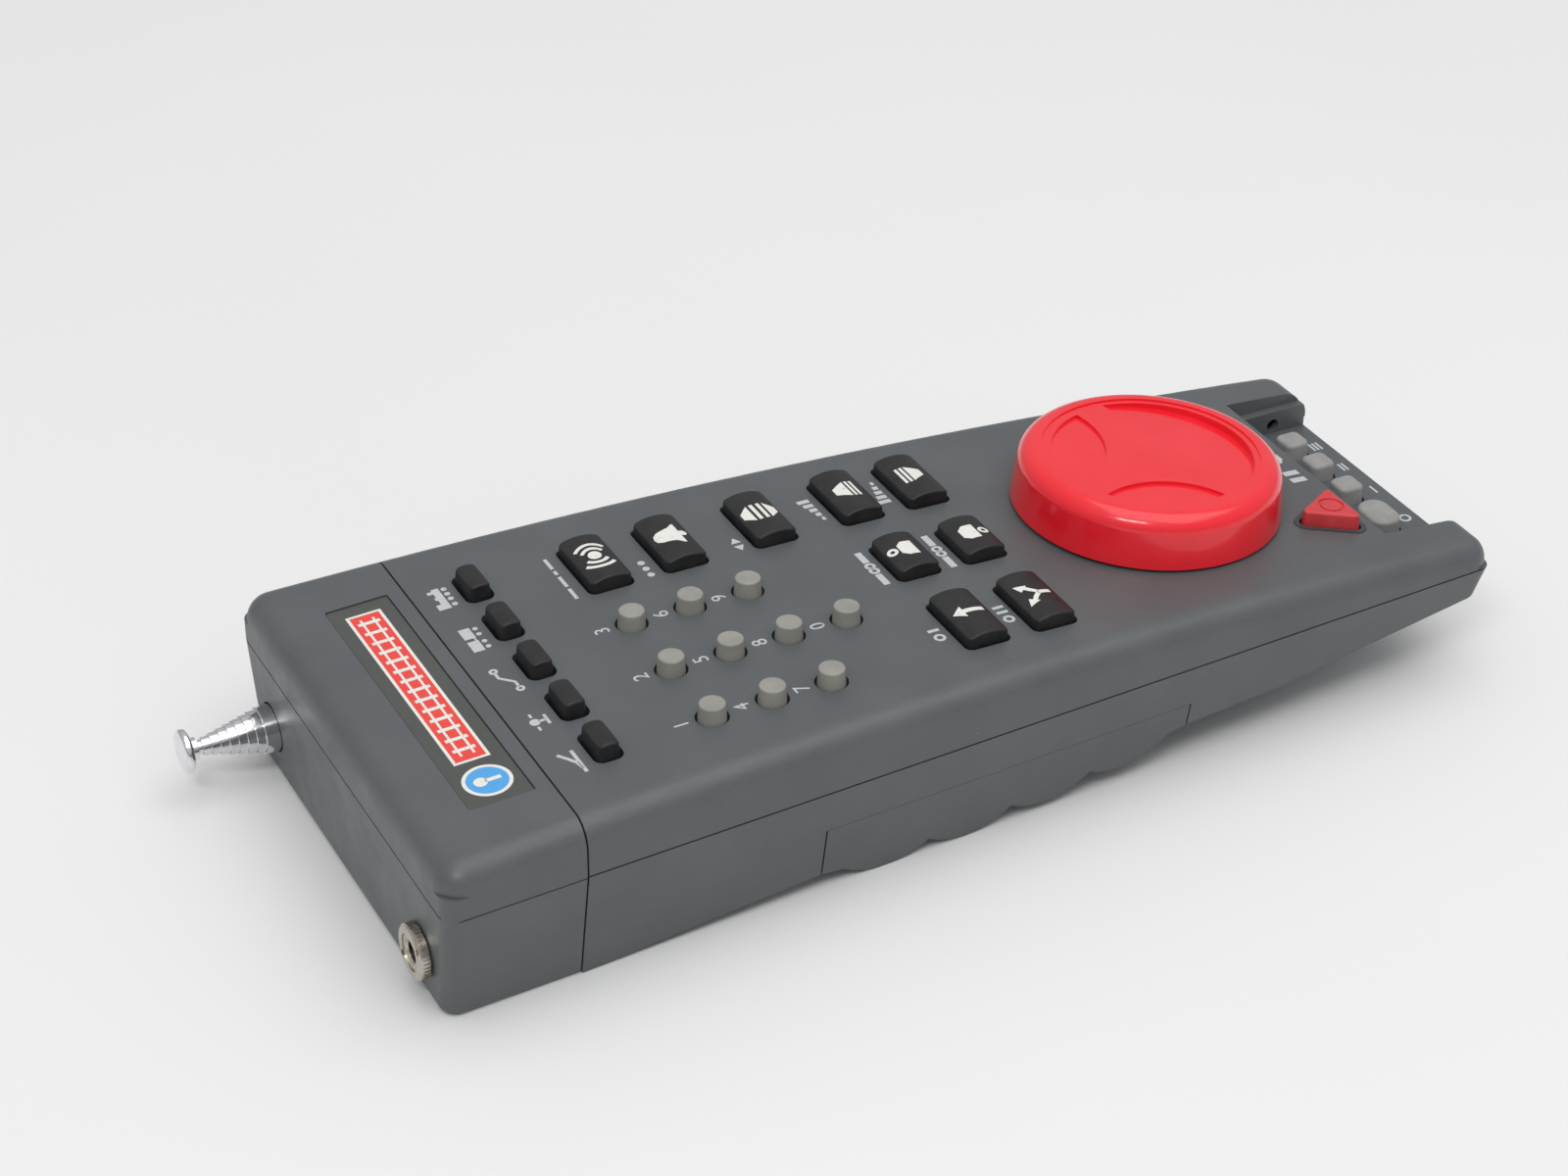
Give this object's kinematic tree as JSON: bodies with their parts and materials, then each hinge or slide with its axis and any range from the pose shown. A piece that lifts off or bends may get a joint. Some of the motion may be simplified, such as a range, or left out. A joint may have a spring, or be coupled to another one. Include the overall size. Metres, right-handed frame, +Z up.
{
  "type": "train set controller",
  "caption": "Hand-held radio controller for a model railway: red speed knob, rubber keys, telescopic aerial, jack socket and ribbed battery cover.",
  "frame": {"origin": "centre of the bounding box on the surface the controller lies on", "axes": "+Z up out of the key face, +Y from the foot towards the aerial, +X to the right of a user who holds the aerial away from them"},
  "size_m": [0.0854, 0.2108, 0.0396],
  "materials": {
    "case_plastic": "fine matt texture",
    "plate_plastic": "satin",
    "bezel_plastic": "matt",
    "board": "solder mask",
    "mat_rubber": "matt",
    "knob_red": "gloss",
    "stop_red": "satin",
    "steel": "plain",
    "encoder_black": "matt",
    "cell_wrap": "printed sleeve",
    "contact_steel": "nickel plated",
    "aerial_chrome": "polished",
    "nickel": "dull nickel",
    "key_black": "matt",
    "key_grey": "matt",
    "deck_grey": "matt"
  },
  "bodies": {
    "case": {"top_shell": "case_plastic", "bottom_shell": "case_plastic", "head_cap": "case_plastic", "name_plate": "plate_plastic", "stop_bezel": "bezel_plastic", "main_board": "board", "keypad_mat": "mat_rubber", "foot_board": "board", "radio_board": "board", "encoder_body": "encoder_black", "battery_cells": "cell_wrap", "battery_springs": "contact_steel", "battery_plates": "contact_steel", "aerial_bracket": "steel", "aerial_tube_1": "aerial_chrome", "jack_body": "nickel", "jack_nut": "nickel", "case_screws": "steel", "head_screws": "steel"},
    "cover": {"battery_cover": "case_plastic"},
    "knob": {"throttle_knob": "knob_red", "encoder_shaft": "steel"},
    "mode_key_switch_body": {"mode_key_switch": "key_black"},
    "mode_key_accessory_body": {"mode_key_accessory": "key_black"},
    "mode_key_route_body": {"mode_key_route": "key_black"},
    "mode_key_train_body": {"mode_key_train": "key_black"},
    "mode_key_engine_body": {"mode_key_engine": "key_black"},
    "digit_key_0_body": {"digit_key_0": "key_grey"},
    "digit_key_1_body": {"digit_key_1": "key_grey"},
    "digit_key_2_body": {"digit_key_2": "key_grey"},
    "digit_key_3_body": {"digit_key_3": "key_grey"},
    "digit_key_4_body": {"digit_key_4": "key_grey"},
    "digit_key_5_body": {"digit_key_5": "key_grey"},
    "digit_key_6_body": {"digit_key_6": "key_grey"},
    "digit_key_7_body": {"digit_key_7": "key_grey"},
    "digit_key_8_body": {"digit_key_8": "key_grey"},
    "digit_key_9_body": {"digit_key_9": "key_grey"},
    "key_horn_body": {"key_horn": "key_black"},
    "key_bell_body": {"key_bell": "key_black"},
    "key_direction_body": {"key_direction": "key_black"},
    "key_boost_body": {"key_boost": "key_black"},
    "key_brake_body": {"key_brake": "key_black"},
    "key_coupler_front_body": {"key_coupler_front": "key_black"},
    "key_coupler_rear_body": {"key_coupler_rear": "key_black"},
    "key_auxiliary_1_body": {"key_auxiliary_1": "key_black"},
    "key_auxiliary_2_body": {"key_auxiliary_2": "key_black"},
    "stop_key_body": {"stop_key": "stop_red"},
    "momentum_key_low_body": {"momentum_key_low": "deck_grey"},
    "momentum_key_medium_body": {"momentum_key_medium": "deck_grey"},
    "momentum_key_high_body": {"momentum_key_high": "deck_grey"},
    "set_key_body": {"set_key": "deck_grey"},
    "aerial_stage_2": {"aerial_tube_2": "aerial_chrome"},
    "aerial_stage_3": {"aerial_tube_3": "aerial_chrome"},
    "aerial_stage_4": {"aerial_tube_4": "aerial_chrome"},
    "aerial_stage_5": {"aerial_tube_5": "aerial_chrome"},
    "aerial_stage_6": {"aerial_tube_6": "aerial_chrome"},
    "aerial_stage_7": {"aerial_tube_7": "aerial_chrome"},
    "aerial_stage_8": {"aerial_tube_8": "aerial_chrome"},
    "aerial_stage_9": {"aerial_tip": "aerial_chrome"}
  },
  "joints": [
    {"name": "cover_lift_off", "type": "slide", "parent": "case", "child": "cover", "axis": [0, 0, -1], "range_m": [0, 0.012]},
    {"name": "knob_turn", "type": "hinge", "parent": "case", "child": "knob", "pos_m": [0, -0.05625, 0.02892], "axis": [0, -0.0523, 0.9986], "continuous": true},
    {"name": "mode_key_switch_press", "type": "slide", "parent": "case", "child": "mode_key_switch_body", "axis": [0, 0, -1], "range_m": [0, 0.0008], "stiffness_N_per_m": 600, "springref_m": -0.0004},
    {"name": "mode_key_accessory_press", "type": "slide", "parent": "case", "child": "mode_key_accessory_body", "axis": [0, 0, -1], "range_m": [0, 0.0008], "stiffness_N_per_m": 600, "springref_m": -0.0004},
    {"name": "mode_key_route_press", "type": "slide", "parent": "case", "child": "mode_key_route_body", "axis": [0, 0, -1], "range_m": [0, 0.0008], "stiffness_N_per_m": 600, "springref_m": -0.0004},
    {"name": "mode_key_train_press", "type": "slide", "parent": "case", "child": "mode_key_train_body", "axis": [0, 0, -1], "range_m": [0, 0.0008], "stiffness_N_per_m": 600, "springref_m": -0.0004},
    {"name": "mode_key_engine_press", "type": "slide", "parent": "case", "child": "mode_key_engine_body", "axis": [0, 0, -1], "range_m": [0, 0.0008], "stiffness_N_per_m": 600, "springref_m": -0.0004},
    {"name": "digit_key_0_press", "type": "slide", "parent": "case", "child": "digit_key_0_body", "axis": [0, 0, -1], "range_m": [0, 0.0008], "stiffness_N_per_m": 500, "springref_m": -0.0004},
    {"name": "digit_key_1_press", "type": "slide", "parent": "case", "child": "digit_key_1_body", "axis": [0, 0, -1], "range_m": [0, 0.0008], "stiffness_N_per_m": 500, "springref_m": -0.0004},
    {"name": "digit_key_2_press", "type": "slide", "parent": "case", "child": "digit_key_2_body", "axis": [0, 0, -1], "range_m": [0, 0.0008], "stiffness_N_per_m": 500, "springref_m": -0.0004},
    {"name": "digit_key_3_press", "type": "slide", "parent": "case", "child": "digit_key_3_body", "axis": [0, 0, -1], "range_m": [0, 0.0008], "stiffness_N_per_m": 500, "springref_m": -0.0004},
    {"name": "digit_key_4_press", "type": "slide", "parent": "case", "child": "digit_key_4_body", "axis": [0, 0, -1], "range_m": [0, 0.0008], "stiffness_N_per_m": 500, "springref_m": -0.0004},
    {"name": "digit_key_5_press", "type": "slide", "parent": "case", "child": "digit_key_5_body", "axis": [0, 0, -1], "range_m": [0, 0.0008], "stiffness_N_per_m": 500, "springref_m": -0.0004},
    {"name": "digit_key_6_press", "type": "slide", "parent": "case", "child": "digit_key_6_body", "axis": [0, 0, -1], "range_m": [0, 0.0008], "stiffness_N_per_m": 500, "springref_m": -0.0004},
    {"name": "digit_key_7_press", "type": "slide", "parent": "case", "child": "digit_key_7_body", "axis": [0, 0, -1], "range_m": [0, 0.0008], "stiffness_N_per_m": 500, "springref_m": -0.0004},
    {"name": "digit_key_8_press", "type": "slide", "parent": "case", "child": "digit_key_8_body", "axis": [0, 0, -1], "range_m": [0, 0.0008], "stiffness_N_per_m": 500, "springref_m": -0.0004},
    {"name": "digit_key_9_press", "type": "slide", "parent": "case", "child": "digit_key_9_body", "axis": [0, 0, -1], "range_m": [0, 0.0008], "stiffness_N_per_m": 500, "springref_m": -0.0004},
    {"name": "key_horn_press", "type": "slide", "parent": "case", "child": "key_horn_body", "axis": [0, 0, -1], "range_m": [0, 0.0008], "stiffness_N_per_m": 600, "springref_m": -0.0004},
    {"name": "key_bell_press", "type": "slide", "parent": "case", "child": "key_bell_body", "axis": [0, 0, -1], "range_m": [0, 0.0008], "stiffness_N_per_m": 600, "springref_m": -0.0004},
    {"name": "key_direction_press", "type": "slide", "parent": "case", "child": "key_direction_body", "axis": [0, 0, -1], "range_m": [0, 0.0008], "stiffness_N_per_m": 600, "springref_m": -0.0004},
    {"name": "key_boost_press", "type": "slide", "parent": "case", "child": "key_boost_body", "axis": [0, 0, -1], "range_m": [0, 0.0008], "stiffness_N_per_m": 600, "springref_m": -0.0004},
    {"name": "key_brake_press", "type": "slide", "parent": "case", "child": "key_brake_body", "axis": [0, 0, -1], "range_m": [0, 0.0008], "stiffness_N_per_m": 600, "springref_m": -0.0004},
    {"name": "key_coupler_front_press", "type": "slide", "parent": "case", "child": "key_coupler_front_body", "axis": [0, 0, -1], "range_m": [0, 0.0008], "stiffness_N_per_m": 600, "springref_m": -0.0004},
    {"name": "key_coupler_rear_press", "type": "slide", "parent": "case", "child": "key_coupler_rear_body", "axis": [0, 0, -1], "range_m": [0, 0.0008], "stiffness_N_per_m": 600, "springref_m": -0.0004},
    {"name": "key_auxiliary_1_press", "type": "slide", "parent": "case", "child": "key_auxiliary_1_body", "axis": [0, 0, -1], "range_m": [0, 0.0008], "stiffness_N_per_m": 600, "springref_m": -0.0004},
    {"name": "key_auxiliary_2_press", "type": "slide", "parent": "case", "child": "key_auxiliary_2_body", "axis": [0, 0, -1], "range_m": [0, 0.0008], "stiffness_N_per_m": 600, "springref_m": -0.0004},
    {"name": "stop_key_press", "type": "slide", "parent": "case", "child": "stop_key_body", "axis": [0, 0, -1], "range_m": [0, 0.0008], "stiffness_N_per_m": 600, "springref_m": -0.0004},
    {"name": "momentum_key_low_press", "type": "slide", "parent": "case", "child": "momentum_key_low_body", "axis": [0, 0, -1], "range_m": [0, 0.0006], "stiffness_N_per_m": 600, "springref_m": -0.0004},
    {"name": "momentum_key_medium_press", "type": "slide", "parent": "case", "child": "momentum_key_medium_body", "axis": [0, 0, -1], "range_m": [0, 0.0006], "stiffness_N_per_m": 600, "springref_m": -0.0004},
    {"name": "momentum_key_high_press", "type": "slide", "parent": "case", "child": "momentum_key_high_body", "axis": [0, 0, -1], "range_m": [0, 0.0006], "stiffness_N_per_m": 600, "springref_m": -0.0004},
    {"name": "set_key_press", "type": "slide", "parent": "case", "child": "set_key_body", "axis": [0, 0, -1], "range_m": [0, 0.0006], "stiffness_N_per_m": 600, "springref_m": -0.0004},
    {"name": "aerial_slide_2", "type": "slide", "parent": "case", "child": "aerial_stage_2", "axis": [0, 1, 0], "range_m": [0, 0.056]},
    {"name": "aerial_slide_3", "type": "slide", "parent": "aerial_stage_2", "child": "aerial_stage_3", "axis": [0, 1, 0], "range_m": [0, 0.056]},
    {"name": "aerial_slide_4", "type": "slide", "parent": "aerial_stage_3", "child": "aerial_stage_4", "axis": [0, 1, 0], "range_m": [0, 0.056]},
    {"name": "aerial_slide_5", "type": "slide", "parent": "aerial_stage_4", "child": "aerial_stage_5", "axis": [0, 1, 0], "range_m": [0, 0.056]},
    {"name": "aerial_slide_6", "type": "slide", "parent": "aerial_stage_5", "child": "aerial_stage_6", "axis": [0, 1, 0], "range_m": [0, 0.056]},
    {"name": "aerial_slide_7", "type": "slide", "parent": "aerial_stage_6", "child": "aerial_stage_7", "axis": [0, 1, 0], "range_m": [0, 0.056]},
    {"name": "aerial_slide_8", "type": "slide", "parent": "aerial_stage_7", "child": "aerial_stage_8", "axis": [0, 1, 0], "range_m": [0, 0.056]},
    {"name": "aerial_slide_9", "type": "slide", "parent": "aerial_stage_8", "child": "aerial_stage_9", "axis": [0, 1, 0], "range_m": [0, 0.056]}
  ]
}
